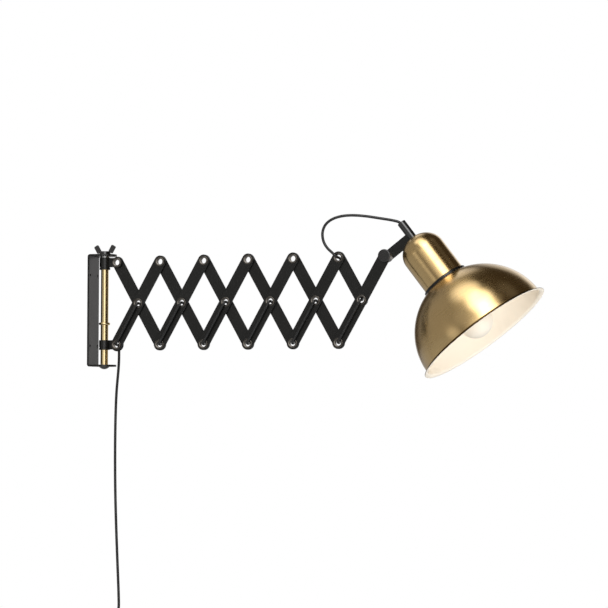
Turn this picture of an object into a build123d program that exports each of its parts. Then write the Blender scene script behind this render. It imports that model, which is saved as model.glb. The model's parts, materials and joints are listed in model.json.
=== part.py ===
from build123d import *
from math import acos, atan2, cos, degrees, pi, radians, sin, sqrt, tan
import os

# Accordion wall lamp: a scissor arm of flat steel bars swivels on a bent wall bracket
# and carries a spun brass dome shade. Millimetres, +Z up. The origin is on the wall, at
# the middle of the bracket's back. The arm reaches out along +X, and -Y is the face that
# carries the front layer of bars.

# ---- driving dimensions ----------------------------------------------------------------

# wall bracket, one strap bent into a U
bracket_height = 177.5
bracket_width = 38.0
bracket_thickness = 3.0
bracket_bend_radius = 4.0
screw_hole_diameter = 4.5
screw_spacing_y = 28.0
screw_spacing_z = 112.0

# post that the arm swivels and slides on
post_standoff = 21.5
post_diameter = 12.0
post_overlap = 8.0
bolt_diameter = 6.0
bolt_head_diameter = 16.5
bolt_head_height = 4.0
bolt_end_length = 5.0
bolt_end_chamfer = 0.6
washer_diameter = 14.0
washer_thickness = 2.0
stop_ring_diameter = 18.0
stop_ring_height = 4.0
stop_ring_height_above_post_foot = 62.8
stop_ring_edge = 0.5

# wing nut
wing_hub_diameter = 18.0
wing_hub_height = 5.0
wing_span = 38.4
wing_rise = 15.8
wing_thickness = 2.6
wing_width = 7.6
wing_corner = 1.6
wing_root = 3.2
wing_lean = 31.0
wing_turn = 4.0
wing_hub_taper = 6.0

# collars on the post, each with a lug to the first pair of bars
collar_diameter = 17.0
collar_groove_depth = 0.8
collar_flange_height = 3.2
upper_collar_height = 19.1
lower_collar_above_pivot = 7.3
lower_collar_below_pivot = 7.9
lug_reach = 21.5
lug_height = 14.6
upper_lug_end_radius = 8.5
lower_lug_end_radius = 10.4
pivot_below_bracket_top = 13.0

# scissor bars
bar_pitch = 73.5
bar_rise = 130.0
bar_width = 19.0
bar_thickness = 2.5
bar_edge = 0.4
layer_gap = 1.0
cell_count = 6
knuckle_reach = 76.0

# tubular rivets
rivet_bore = 9.0
rivet_barrel = 11.0
rivet_flange = 15.0
rivet_crown = 0.9
rivet_lip = 0.1

# cord
cord_diameter = 4.2
cord_rise = 6.3
cord_turn_radius = 5.8

# head: measured down the shade's axis from the strap's middle
shade_lean = 37.4
axis_offset = 47.5
shade_depth_offset = 15.5
knob_diameter = 19.6
knob_height = 5.0
knob_edge = 1.4
knuckle_spacer_length = 11.5
knuckle_spacer_diameter = 19.0
knuckle_spacer_edge = 0.5
knuckle_nut_width = 10.0
knuckle_nut_height = 5.0
knuckle_stud_past_nut = 1.5
nut_edge = 0.4
strap_width = 16.4
strap_thickness = 2.5
stem_diameter = 13.2
stem_wall = 1.1
stem_top = 28.2
stem_rim = 0.4
loop_in_stem = 12.0
bush_depth = 8.0
bush_length = 8.0
nipple_bore = 6.0
nipple_overlap = 6.0
nipple_drop = 40.0
neck_top = 1.2
neck_radius = 34.0
neck_dome_height = 30.1
neck_bottom = 81.4
neck_wall = 1.2
neck_nut_width = 17.0
neck_nut_height = 4.0
neck_ring_radius = 36.8
neck_ring_land = 5.5
neck_ring_height = 5.8
neck_ring_edge = 0.6
shade_wall = 1.0
shade_radius = 103.7
shade_dome_height = 100.9
shade_flare = 5.8
shade_lip_turn = 3.0
shade_hole_radius = 20.0

# lamp holder and bulb
holder_top = 28.0
holder_boss_radius = 10.0
holder_boss_height = 6.0
holder_shoulder_height = 6.0
holder_radius = 19.5
holder_mouth = 112.0
holder_flange_radius = 25.0
holder_flange_height = 4.0
holder_ring_radius = 25.5
holder_ring_height = 5.0
holder_ring_edge = 0.8
bulb_cap_radius = 13.2
bulb_cap_length = 24.0
bulb_cap_below_holder = 6.0
bulb_contact_radius = 4.5
bulb_contact_height = 3.0
bulb_contact_cone = 2.0
bulb_globe_radius = 26.4
bulb_globe_below_holder = 49.7
bulb_throat_inset = 0.4
bulb_throat_run = 10.0
bulb_shoulder_run = 12.0
bulb_shoulder_angle = 40.0

# plug and the coil of spare cord
coil_outer_radius = 33.6
coil_pitch = 4.8
coil_turns_per_layer = 4
coil_reversal_step = 3.4
coil_entry_angle = 135.0
coil_turned = 15.0
coil_centre_height = -516.0
coil_lead_out = 46.0
tie_angle = 150.0
tie_width = 3.6
tie_thickness = 1.2
tie_corner = 1.8
plug_length = 36.0
plug_width = 35.0
plug_depth = 14.0
plug_neck_diameter = 9.0
plug_neck_length = 16.0
plug_pin_diameter = 4.0
plug_pin_length = 19.0
plug_pin_spacing = 18.6
plug_pin_point = 0.8
plug_shoulder_share = 0.8
plug_flat = 0.2

# clearances
running_gap = 0.05
seat_gap = 0.3
hole_gap = 0.25

quarter_turn = 90

# ---- positions worked out from them ----------------------------------------------------

bracket_top = bracket_height / 2
ear_inside = bracket_top - bracket_thickness
ear_radius = bracket_width / 2
top_row = bracket_top - pivot_below_bracket_top
middle_row = top_row - bar_rise / 2
bottom_row = top_row - bar_rise
first_pivot = post_standoff + lug_reach

front_layer = -layer_gap / 2
back_layer = layer_gap / 2 + bar_thickness
stack_half = layer_gap / 2 + bar_thickness
bar_lean = degrees(atan2(bar_pitch, bar_rise))

top_pivots = [Vector(first_pivot + k * bar_pitch, 0, top_row) for k in range(cell_count)]
bottom_pivots = [Vector(first_pivot + k * bar_pitch, 0, bottom_row) for k in range(cell_count)]
middle_pivots = [Vector(first_pivot + (k + 0.5) * bar_pitch, 0, middle_row) for k in range(cell_count)]
knuckle = middle_pivots[-1] + Vector(sin(radians(bar_lean)), 0, cos(radians(bar_lean))) * knuckle_reach

bar_hole_radius = rivet_barrel / 2 + running_gap
stud_hole_radius = bolt_diameter / 2 + running_gap

strap_front = front_layer + knuckle_spacer_length
strap_back = strap_front + strap_thickness

outward = Vector(cos(radians(shade_lean)), 0, sin(radians(shade_lean)))
upward = Vector(-sin(radians(shade_lean)), 0, cos(radians(shade_lean)))
head_origin = knuckle + outward * axis_offset + Vector(0, shade_depth_offset, 0)
head_section = Plane(origin=head_origin, x_dir=outward, z_dir=(0, -1, 0))
head_axis = Axis(head_origin, upward)


def finish(piece, label):
    """Label a finished piece and write it as its own STEP file."""
    piece.part.label = label
    export_step(piece.part, f"parts/{label}.step")


def layer_plane(back_face):
    """Sketch plane facing -Y whose extrusion starts at the given Y and comes forwards."""
    return Plane.XZ.offset(-back_face)


def hex_prism(plane, across_flats, height, bore_radius, label):
    """Plain hexagon nut standing on a plane, with its bore."""
    with BuildPart() as nut:
        with BuildSketch(plane):
            RegularPolygon(across_flats / 2, 6, major_radius=False)
            Circle(bore_radius, mode=Mode.SUBTRACT)
        extrude(amount=height)
        rims = nut.faces().filter_by(Axis(plane.origin, plane.z_dir)).edges()
        chamfer(rims.filter_by(GeomType.LINE), length=nut_edge)
    finish(nut, label)


def head_level(depth):
    """Plane across the shade's axis at a depth below the strap's middle, facing up."""
    return Plane(origin=head_origin - upward * depth, x_dir=outward, z_dir=upward)


def outline_edges(piece):
    """Outer rim edges of a flat part's two broad faces, for breaking its corners."""
    edges = ShapeList()
    for face in piece.faces().filter_by(Axis.Y).sort_by(SortBy.AREA)[-2:]:
        edges.extend(face.outer_wire().edges())
    return edges


os.makedirs("parts", exist_ok=True)

# ---- wall bracket ----------------------------------------------------------------------

with BuildPart() as wall_bracket:
    with BuildSketch(Plane.XZ) as side_view:
        with BuildLine():
            Polyline(
                (post_standoff, bracket_top),
                (0, bracket_top),
                (0, -bracket_top),
                (post_standoff, -bracket_top),
                (post_standoff, -ear_inside),
                (bracket_thickness, -ear_inside),
                (bracket_thickness, ear_inside),
                (post_standoff, ear_inside),
                close=True,
            )
        make_face()
        outer_bends = side_view.vertices().group_by(Axis.X)[0]
        fillet(outer_bends, bracket_bend_radius)
        inner_bends = side_view.vertices().filter_by_position(
            Axis.X, bracket_thickness - 0.01, bracket_thickness + 0.01
        )
        fillet(inner_bends, bracket_bend_radius - bracket_thickness)
    extrude(amount=bracket_width / 2, both=True)
    for level in (ear_inside, -bracket_top):
        with BuildSketch(Plane.XY.offset(level)):
            with Locations((post_standoff, 0)):
                Circle(ear_radius)
        extrude(amount=bracket_thickness)
    with BuildSketch(Plane.XY.offset(-bracket_top)):
        with Locations((post_standoff, 0)):
            Circle(stud_hole_radius)
    extrude(amount=bracket_height, mode=Mode.SUBTRACT)
    with BuildSketch(Plane.YZ):
        with GridLocations(screw_spacing_y, screw_spacing_z, 2, 2):
            Circle(screw_hole_diameter / 2)
    extrude(amount=bracket_thickness, mode=Mode.SUBTRACT)
finish(wall_bracket, "wall_bracket")

# ---- post, through bolt, stop ring, washer and wing nut --------------------------------

post_top = ear_inside - washer_thickness - upper_collar_height + post_overlap

with BuildPart() as post_tube:
    with BuildSketch(Plane.XY.offset(-ear_inside)):
        with Locations((post_standoff, 0)):
            Circle(post_diameter / 2)
            Circle(stud_hole_radius, mode=Mode.SUBTRACT)
    extrude(amount=post_top + ear_inside)
finish(post_tube, "post_tube")

stop_ring_foot = -ear_inside + stop_ring_height_above_post_foot

with BuildPart() as stop_ring:
    with BuildSketch(Plane.XY.offset(stop_ring_foot)):
        with Locations((post_standoff, 0)):
            Circle(stop_ring_diameter / 2)
            Circle(post_diameter / 2 + running_gap, mode=Mode.SUBTRACT)
    extrude(amount=stop_ring_height)
    rims = stop_ring.edges().filter_by(GeomType.CIRCLE)
    chamfer(rims.filter_by(lambda e: e.radius > post_diameter / 2 + running_gap), length=stop_ring_edge)
finish(stop_ring, "stop_ring")

with BuildPart() as bracket_washer:
    with BuildSketch(Plane.XY.offset(ear_inside - washer_thickness)):
        with Locations((post_standoff, 0)):
            Circle(washer_diameter / 2)
            Circle(stud_hole_radius, mode=Mode.SUBTRACT)
    extrude(amount=washer_thickness)
finish(bracket_washer, "bracket_washer")

bolt_dome_radius = ((bolt_head_diameter / 2) ** 2 + bolt_head_height**2) / (2 * bolt_head_height)

with BuildPart() as pivot_bolt:
    with BuildSketch(Plane.XZ):
        with BuildLine():
            shank_top = bracket_top + bolt_end_length
            Polyline(
                (post_standoff, -bracket_top - bolt_head_height),
                (post_standoff, shank_top),
                (post_standoff + bolt_diameter / 2 - bolt_end_chamfer, shank_top),
                (post_standoff + bolt_diameter / 2, shank_top - bolt_end_chamfer),
                (post_standoff + bolt_diameter / 2, -bracket_top),
                (post_standoff + bolt_head_diameter / 2, -bracket_top),
            )
            RadiusArc(
                (post_standoff + bolt_head_diameter / 2, -bracket_top),
                (post_standoff, -bracket_top - bolt_head_height),
                bolt_dome_radius,
            )
        make_face()
    revolve(axis=Axis((post_standoff, 0, 0), (0, 0, 1)))
finish(pivot_bolt, "pivot_bolt")

wing_plane = Plane(
    origin=(post_standoff, 0, bracket_top),
    x_dir=(cos(radians(-wing_turn)), sin(radians(-wing_turn)), 0),
    z_dir=(-sin(radians(wing_turn)), -cos(radians(wing_turn)), 0),
)

tip_across = wing_span / 2 - wing_width / 2 * cos(radians(wing_lean))
tip_height = wing_rise - wing_width / 2 * sin(radians(wing_lean))
wing_length = (tip_height - wing_root) / cos(radians(wing_lean))

with BuildPart() as wing_nut:
    with BuildSketch(Plane.XY.offset(bracket_top)):
        with Locations((post_standoff, 0)):
            Circle(wing_hub_diameter / 2)
    extrude(amount=wing_hub_height, taper=wing_hub_taper)
    with BuildSketch(wing_plane):
        for side in (-1, 1):
            middle_across = side * (tip_across - wing_length / 2 * sin(radians(wing_lean)))
            with Locations((middle_across, (tip_height + wing_root) / 2)):
                RectangleRounded(wing_width, wing_length, wing_corner, rotation=-side * wing_lean)
    extrude(amount=wing_thickness / 2, both=True)
    with BuildSketch(Plane.XY.offset(bracket_top)):
        with Locations((post_standoff, 0)):
            Circle(stud_hole_radius)
    extrude(amount=wing_rise, mode=Mode.SUBTRACT)
finish(wing_nut, "wing_nut")

# ---- collars on the post ---------------------------------------------------------------


def collar(label, foot, top, pivot_height, lug_back, lug_end_radius, bore_steps):
    """Turned collar round the post with a flat lug out to the first pivot.

    bore_steps holds a radius and the height up to which that bore reaches.
    """
    radius = collar_diameter / 2
    groove = foot + collar_flange_height
    with BuildPart() as piece:
        with BuildSketch(Plane.XZ):
            with BuildLine():
                Polyline(
                    (post_standoff, foot),
                    (post_standoff + radius, foot),
                    (post_standoff + radius, groove),
                    (post_standoff + radius - collar_groove_depth, groove),
                    (post_standoff + radius - collar_groove_depth, groove + collar_groove_depth),
                    (post_standoff + radius, groove + collar_groove_depth),
                    (post_standoff + radius, top),
                    (post_standoff, top),
                    close=True,
                )
            make_face()
        revolve(axis=Axis((post_standoff, 0, 0), (0, 0, 1)))
        with BuildSketch(layer_plane(lug_back)):
            with Locations((post_standoff + lug_reach / 2, pivot_height)):
                Rectangle(lug_reach, lug_height)
            with Locations((first_pivot, pivot_height)):
                Circle(lug_end_radius)
        extrude(amount=bar_thickness)
        with BuildSketch(layer_plane(lug_back)):
            with Locations((first_pivot, pivot_height)):
                Circle(bar_hole_radius)
        extrude(amount=bar_thickness, mode=Mode.SUBTRACT)
        start = foot
        for bore_radius, end in bore_steps:
            with BuildSketch(Plane.XY.offset(start)):
                with Locations((post_standoff, 0)):
                    Circle(bore_radius)
            extrude(amount=end - start, mode=Mode.SUBTRACT)
            start = end
    finish(piece, label)


upper_collar_top = ear_inside - washer_thickness
upper_collar_foot = upper_collar_top - upper_collar_height
collar(
    "upper_collar",
    upper_collar_foot,
    upper_collar_top,
    top_row,
    front_layer,
    upper_lug_end_radius,
    [(post_diameter / 2 + running_gap, post_top), (stud_hole_radius, upper_collar_top)],
)

lower_collar_top = bottom_row + lower_collar_above_pivot
collar(
    "lower_collar",
    bottom_row - lower_collar_below_pivot,
    lower_collar_top,
    bottom_row,
    back_layer,
    lower_lug_end_radius,
    [(post_diameter / 2 + running_gap, lower_collar_top)],
)

# ---- scissor bars ----------------------------------------------------------------------


def bar(label, start, end, back_face, holes):
    """Flat bar with round ends, from one pivot to another, and its pivot holes."""
    run = end - start
    middle = (start + end) / 2
    with BuildPart() as piece:
        with BuildSketch(layer_plane(back_face)):
            with Locations((middle.X, middle.Z)):
                SlotCenterToCenter(run.length, bar_width, rotation=degrees(atan2(run.Z, run.X)))
            for point, radius in holes:
                with Locations((point.X, point.Z)):
                    Circle(radius, mode=Mode.SUBTRACT)
        extrude(amount=bar_thickness)
        chamfer(outline_edges(piece), length=bar_edge)
    finish(piece, label)


for cell in range(cell_count):
    number = cell + 1
    last = number == cell_count
    crossing = middle_pivots[cell]
    falling_start = top_pivots[cell]
    falling_end = crossing if last else bottom_pivots[number]
    falling_holes = {falling_start: bar_hole_radius, crossing: bar_hole_radius, falling_end: bar_hole_radius}
    bar(f"falling_bar_{number}", falling_start, falling_end, back_layer, falling_holes.items())

    rising_start = bottom_pivots[cell]
    rising_end = knuckle if last else top_pivots[number]
    end_hole = stud_hole_radius if last else bar_hole_radius
    rising_holes = {rising_start: bar_hole_radius, crossing: bar_hole_radius, rising_end: end_hole}
    bar(f"rising_bar_{number}", rising_start, rising_end, front_layer, rising_holes.items())

# ---- tubular rivets and the thin washers between the layers ----------------------------

crown_radius = (rivet_bore + rivet_flange) / 4

with BuildPart() as eyelet:
    with BuildSketch(Plane.XY):
        with BuildLine():
            front = Polyline(
                (rivet_flange / 2, stack_half),
                (rivet_barrel / 2, stack_half),
                (rivet_barrel / 2, -stack_half),
                (rivet_flange / 2, -stack_half),
            )
            ThreePointArc(
                (rivet_flange / 2, -stack_half),
                (crown_radius, -stack_half - rivet_crown),
                (rivet_bore / 2, -stack_half - rivet_lip),
            )
            Line((rivet_bore / 2, -stack_half - rivet_lip), (rivet_bore / 2, stack_half + rivet_lip))
            ThreePointArc(
                (rivet_bore / 2, stack_half + rivet_lip),
                (crown_radius, stack_half + rivet_crown),
                (rivet_flange / 2, stack_half),
            )
        make_face()
    revolve(axis=Axis.Y)
    with BuildSketch(Plane.XZ.offset(-layer_gap / 2)):
        Circle(rivet_flange / 2)
        Circle(bar_hole_radius, mode=Mode.SUBTRACT)
    extrude(amount=layer_gap)


def rivet_set(label, pivots):
    """Rivets and layer washers at the pivots that one piece of the arm carries."""
    with BuildPart() as piece:
        with Locations(*[(point.X, 0, point.Z) for point in pivots]):
            add(eyelet.part)
    finish(piece, label)


rivet_set("rivet_collar", [top_pivots[0]])
for cell in range(cell_count):
    carried = [bottom_pivots[cell], middle_pivots[cell]]
    if cell + 1 < cell_count:
        carried.append(top_pivots[cell + 1])
    rivet_set(f"rivets_{cell + 1}", carried)

# ---- cord threaded along the arm -------------------------------------------------------


def tube(label, points, radii):
    """Round cord along straight runs joined by tangent arcs."""
    first = Vector(*points[0])
    heading = Vector(*points[1]) - first
    with BuildPart() as piece:
        with BuildLine() as route:
            FilletPolyline(*points, radius=radii)
        with BuildSketch(Plane(origin=first, z_dir=heading)):
            Circle(cord_diameter / 2)
        sweep(path=route.wires()[0])
    length = sum(edge.length for edge in route.edges())
    section = pi * (cord_diameter / 2) ** 2
    filled = piece.part.volume / section / length
    print(f"{label}: length {length:.1f}, volume / (section * length) {filled:.4f}")
    finish(piece, label)


def run_radii(points):
    """Arc radii: 0.45 of the shorter run over the tangent of half the turn."""
    radii = []
    for before, corner, after in zip(points, points[1:], points[2:]):
        leg_in = Vector(*corner) - Vector(*before)
        leg_out = Vector(*after) - Vector(*corner)
        turn = radians(leg_in.get_angle(leg_out))
        radii.append(0.45 * min(leg_in.length, leg_out.length) / tan(turn / 2))
    return radii


def threaded_cord(label, start, end, side):
    """Cord out of one rivet, along the bar and into the next, on one face of the arm."""
    away = side * cord_rise
    points = [
        (start.X, 0, start.Z),
        (start.X, away, start.Z),
        (end.X, away, end.Z),
        (end.X, 0, end.Z),
    ]
    tube(label, points, [cord_turn_radius, cord_turn_radius])


for cell in range(cell_count):
    number = cell + 1
    threaded_cord(f"cord_front_{number}", middle_pivots[cell], bottom_pivots[cell], -1)
    if number < cell_count:
        threaded_cord(f"cord_back_{number}", bottom_pivots[number], middle_pivots[cell], 1)
    else:
        threaded_cord(f"cord_back_{number}", top_pivots[cell], middle_pivots[cell], 1)

# ---- free loop of cord from the last top rivet into the stem ---------------------------

stem_mouth = head_origin + upward * stem_top
loop_end = stem_mouth - upward * loop_in_stem
last_rivet = top_pivots[-1]

loop_points = [
    (last_rivet.X, 0, last_rivet.Z),
    (last_rivet.X, -8.5, last_rivet.Z),
    (403.5, -9.8, 82.5),
    (394.0, -10.0, 91.0),
    (387.8, -9.5, 102.5),
    (386.8, -8.8, 116.5),
    (393.0, -7.8, 129.0),
    (406.5, -6.0, 137.0),
    (425.5, -2.2, 140.4),
    (449.0, 3.4, 139.2),
    (473.0, 9.6, 135.2),
    (493.5, 14.0, 131.8),
    tuple(stem_mouth),
    tuple(loop_end),
]
loop_radii = run_radii(loop_points)
print("cord_loop radii", [round(r, 1) for r in loop_radii])
tube("cord_loop", loop_points, loop_radii)

# ---- cord hanging from the lower collar, with the spare length coiled and tied ---------

coil_across = Vector(cos(radians(coil_turned)), sin(radians(coil_turned)), 0)
coil_up = Vector(0, 0, 1)
coil_face = Vector(sin(radians(coil_turned)), -cos(radians(coil_turned)), 0)
hang_line = Vector(42.0, 16.8, coil_centre_height)
coil_end_run = cord_diameter
tail_last_run = 18.0

entry_out = coil_across * cos(radians(coil_entry_angle)) + coil_up * sin(radians(coil_entry_angle))
entry_along = coil_up * cos(radians(coil_entry_angle)) - coil_across * sin(radians(coil_entry_angle))
entry_shift = coil_outer_radius * cos(radians(coil_entry_angle))
entry_shift += (coil_end_run + tail_last_run) * sin(radians(coil_entry_angle))
coil_centre = hang_line - coil_across * entry_shift + coil_face * (coil_pitch / 2)

wound_start = coil_centre - coil_face * (coil_pitch / 2) + entry_out * coil_outer_radius
coil_start = wound_start - entry_along * coil_end_run
tail_bend = coil_start - entry_along * tail_last_run

tail_points = [
    (first_pivot, 0, bottom_row),
    (first_pivot, 8.5, bottom_row),
    (42.6, 9.6, -64.5),
    (41.7, 11.6, -79.0),
    (39.1, 15.4, -94.5),
    (35.9, 19.4, -109.5),
    (33.2, 22.2, -126.0),
    (31.6, 23.4, -148.0),
    (30.8, 23.4, -184.0),
    (31.4, 21.8, -238.0),
    (33.8, 18.4, -292.0),
    (36.4, 17.0, -346.0),
    (39.2, 16.4, -400.0),
    (41.4, 16.6, -446.0),
    tuple(tail_bend),
    tuple(coil_start),
]
tail_radii = run_radii(tail_points)
print("cord_tail radii", [round(r, 1) for r in tail_radii])
tube("cord_tail", tail_points, tail_radii)


def coil_stations():
    """Distance out along the entry line and layer height at each half turn of the coil."""
    stations = []
    half_turns = 2 * coil_turns_per_layer
    for step in range(half_turns):
        stations.append((coil_outer_radius - step * coil_pitch / 2, -coil_pitch / 2))
    inmost = coil_outer_radius - (half_turns - 1) * coil_pitch / 2 - coil_reversal_step
    stations.append((inmost, -coil_pitch / 2))
    stations.append((inmost, coil_pitch / 2))
    for step in range(half_turns - 1):
        stations.append((inmost + coil_reversal_step + step * coil_pitch / 2, coil_pitch / 2))
    return stations


def coil_point(distance, height, side):
    return coil_centre + entry_out * (side * distance) + coil_face * height


stations = coil_stations()
places = [coil_point(out, height, 1 if i % 2 == 0 else -1) for i, (out, height) in enumerate(stations)]
coil_samples = []

with BuildPart() as cord_coil:
    with BuildLine() as winding:
        Line(coil_start, places[0])
        for i, (here, there) in enumerate(zip(places, places[1:])):
            heading = entry_along if i % 2 == 0 else -entry_along
            top = (here + there) / 2 + heading * ((there - here).length / 2)
            turn = ThreePointArc(here, top, there)
            coil_samples += [turn @ (j / 24) for j in range(24)]
        last = places[-1]
        heading = entry_along if (len(places) - 1) % 2 == 0 else -entry_along
        out_centre = last - entry_out * stations[-1][0]
        lead_radius = stations[-1][0]
        lead_middle = 180 - (180 - coil_entry_angle) / 2
        bend_middle = out_centre + coil_across * (lead_radius * cos(radians(lead_middle)))
        bend_middle += coil_up * (lead_radius * sin(radians(lead_middle)))
        bend_end = out_centre - coil_across * lead_radius
        ThreePointArc(last, bend_middle, bend_end)
        lead_end = bend_end - coil_up * coil_lead_out
        Line(bend_end, lead_end)
    with BuildSketch(Plane(origin=coil_start, z_dir=entry_along)):
        Circle(cord_diameter / 2)
    sweep(path=winding.wires()[0])
finish(cord_coil, "cord_coil")

least = min(
    (coil_samples[i] - coil_samples[j]).length
    for i in range(len(coil_samples))
    for j in range(i + 20, len(coil_samples))
)
print(f"cord_coil: length {winding.wires()[0].length:.1f}, least gap {least - cord_diameter:.2f}")

with BuildPart() as coil_ties:
    inner_edge = stations[2 * coil_turns_per_layer][0] - cord_diameter / 2 - seat_gap
    outer_edge = coil_outer_radius + cord_diameter / 2 + seat_gap
    band_depth = coil_pitch + cord_diameter + 2 * seat_gap
    for angle in (tie_angle, tie_angle + 180):
        out = coil_across * cos(radians(angle)) + coil_up * sin(radians(angle))
        along = coil_up * cos(radians(angle)) - coil_across * sin(radians(angle))
        middle = coil_centre + out * ((inner_edge + outer_edge) / 2)
        with BuildSketch(Plane(origin=middle - along * (tie_width / 2), x_dir=out, z_dir=along)):
            length = outer_edge - inner_edge
            outer_corner = tie_corner + tie_thickness
            RectangleRounded(length + 2 * tie_thickness, band_depth + 2 * tie_thickness, outer_corner)
            RectangleRounded(length, band_depth, tie_corner, mode=Mode.SUBTRACT)
        extrude(amount=tie_width)
finish(coil_ties, "coil_ties")

plug_face = Plane(origin=lead_end, x_dir=coil_across, z_dir=(0, 0, -1))
plug_corner = (plug_depth - plug_flat) / 2

with BuildPart() as plug_body:
    with BuildSketch(plug_face):
        Circle(plug_neck_diameter / 2)
    with BuildSketch(plug_face.offset(plug_neck_length)):
        RectangleRounded(plug_width * plug_shoulder_share, plug_depth, plug_corner)
    loft()
    with BuildSketch(plug_face.offset(plug_neck_length)):
        RectangleRounded(plug_width * plug_shoulder_share, plug_depth, plug_corner)
    with BuildSketch(plug_face.offset(plug_length)):
        RectangleRounded(plug_width, plug_depth, plug_corner)
    loft()
finish(plug_body, "plug_body")

with BuildPart() as plug_pins:
    with BuildSketch(plug_face.offset(plug_length)):
        with GridLocations(plug_pin_spacing, 0, 2, 1):
            Circle(plug_pin_diameter / 2)
    extrude(amount=plug_pin_length)
    chamfer(plug_pins.faces().sort_by(Axis.Z)[:2].edges(), length=plug_pin_point)
finish(plug_pins, "plug_pins")

# ---- knuckle: knob, spacer, strap and nut ----------------------------------------------

knuckle_axis = Axis(knuckle, (0, 1, 0))
stud_end = strap_back + knuckle_nut_height + knuckle_stud_past_nut

with BuildPart() as knuckle_knob:
    with BuildSketch(Plane(origin=knuckle, x_dir=(1, 0, 0), z_dir=(0, 0, 1))) as knob_half:
        with BuildLine():
            Polyline(
                (0, -stack_half - knob_height),
                (knob_diameter / 2, -stack_half - knob_height),
                (knob_diameter / 2, -stack_half),
                (bolt_diameter / 2, -stack_half),
                (bolt_diameter / 2, stud_end),
                (0, stud_end),
                close=True,
            )
        make_face()
        rim = knob_half.vertices().group_by(Axis.Y)[0].sort_by(Axis.X)[-1]
        fillet(rim, knob_edge)
    revolve(axis=knuckle_axis)
finish(knuckle_knob, "knuckle_knob")

with BuildPart() as knuckle_spacer:
    with BuildSketch(layer_plane(strap_front)):
        with Locations((knuckle.X, knuckle.Z)):
            Circle(knuckle_spacer_diameter / 2)
            Circle(stud_hole_radius, mode=Mode.SUBTRACT)
    extrude(amount=knuckle_spacer_length)
    rims = knuckle_spacer.edges().filter_by(GeomType.CIRCLE)
    chamfer(rims.filter_by(lambda e: e.radius > bolt_diameter), length=knuckle_spacer_edge)
finish(knuckle_spacer, "knuckle_spacer")

nut_plane = Plane(origin=knuckle + Vector(0, strap_back, 0), x_dir=outward, z_dir=(0, 1, 0))
hex_prism(nut_plane, knuckle_nut_width, knuckle_nut_height, stud_hole_radius, "knuckle_nut")

stem_radius = stem_diameter / 2

with BuildPart() as head_strap:
    with BuildSketch(Plane(origin=knuckle + Vector(0, strap_back, 0), x_dir=outward, z_dir=(0, -1, 0))):
        Circle(strap_width / 2)
        with Locations((axis_offset / 2, 0)):
            Rectangle(axis_offset, strap_width)
        Circle(stud_hole_radius, mode=Mode.SUBTRACT)
    extrude(amount=strap_thickness)
    chamfer(outline_edges(head_strap), length=bar_edge)
    with BuildSketch(head_section):
        with BuildLine():
            clear_radius = neck_radius + seat_gap
            clear_height = neck_dome_height + seat_gap
            dome_base = -neck_top - neck_dome_height
            EllipticalCenterArc((0, dome_base), clear_radius, clear_height, arc_size=quarter_turn)
            Polyline((0, dome_base + clear_height), (0, dome_base), (clear_radius, dome_base))
        make_face()
    revolve(axis=head_axis, mode=Mode.SUBTRACT)
    with BuildSketch(head_level(strap_width)):
        Circle(stem_radius + running_gap)
    extrude(amount=2 * strap_width, mode=Mode.SUBTRACT)
    with BuildSketch(head_level(0)):
        with Locations((axis_offset, 0)):
            Rectangle(2 * axis_offset, strap_width)
    extrude(amount=strap_width, both=True, mode=Mode.SUBTRACT)
finish(head_strap, "head_strap")

# ---- stem, bush and nipple -------------------------------------------------------------

stem_bore = stem_radius - stem_wall
neck_drop = neck_dome_height * (1 - sqrt(1 - (stem_bore / neck_radius) ** 2))
stem_foot = neck_top + neck_drop - running_gap

with BuildPart() as stem_tube:
    with BuildSketch(head_level(stem_foot)):
        Circle(stem_radius)
        Circle(stem_bore, mode=Mode.SUBTRACT)
    extrude(amount=stem_foot + stem_top)
    rims = stem_tube.faces().filter_by(Axis(head_origin, upward)).sort_by(Axis.Z)[-1].edges()
    fillet(rims, stem_rim)
finish(stem_tube, "stem_tube")

with BuildPart() as stem_bush:
    with BuildSketch(head_level(bush_depth + bush_length - stem_top)):
        Circle(stem_bore - running_gap)
        Circle(cord_diameter / 2 + running_gap, mode=Mode.SUBTRACT)
    extrude(amount=bush_length)
finish(stem_bush, "stem_bush")

with BuildPart() as stem_nipple:
    with BuildSketch(head_level(nipple_drop)):
        Circle(stem_bore - running_gap)
        Circle(nipple_bore / 2, mode=Mode.SUBTRACT)
    extrude(amount=nipple_drop - stem_foot + nipple_overlap)
finish(stem_nipple, "stem_nipple")

# ---- neck cap, its nut and the ring between neck and shade -----------------------------

neck_base = -neck_top - neck_dome_height
hollow_radius = neck_radius - neck_wall
hollow_height = neck_dome_height - neck_wall

with BuildPart() as neck_cap:
    with BuildSketch(head_section) as neck_half:
        with BuildLine():
            outer = EllipticalCenterArc((0, neck_base), neck_radius, neck_dome_height, arc_size=quarter_turn)
            inner = EllipticalCenterArc((0, neck_base), hollow_radius, hollow_height, arc_size=quarter_turn)
            Line(outer @ 1, inner @ 1)
            Polyline(outer @ 0, (neck_radius, -neck_bottom), (hollow_radius, -neck_bottom), inner @ 0)
        make_face()
        with Locations((0, -neck_top)):
            Rectangle(2 * stem_bore, neck_dome_height / 2, mode=Mode.SUBTRACT)
    revolve(axis=head_axis)
finish(neck_cap, "neck_cap")

nut_corner = neck_nut_width / sqrt(3)
nut_seat = -neck_base - hollow_height * sqrt(1 - (nut_corner / hollow_radius) ** 2)
hex_prism(
    head_level(nut_seat + hole_gap + neck_nut_height),
    neck_nut_width,
    neck_nut_height,
    stem_bore,
    "neck_nut",
)


ring_seat_drop = shade_dome_height * sqrt(1 - (neck_ring_radius / shade_radius) ** 2)
shade_dome_base = neck_bottom + neck_ring_height + hole_gap + ring_seat_drop


def shade_skin(radius, allowance=0.0):
    """Depth of the shade's outer skin at a radius, less an allowance measured across it."""
    across = shade_radius + allowance
    along = shade_dome_height + allowance
    return shade_dome_base - along * sqrt(1 - (radius / across) ** 2)


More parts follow.
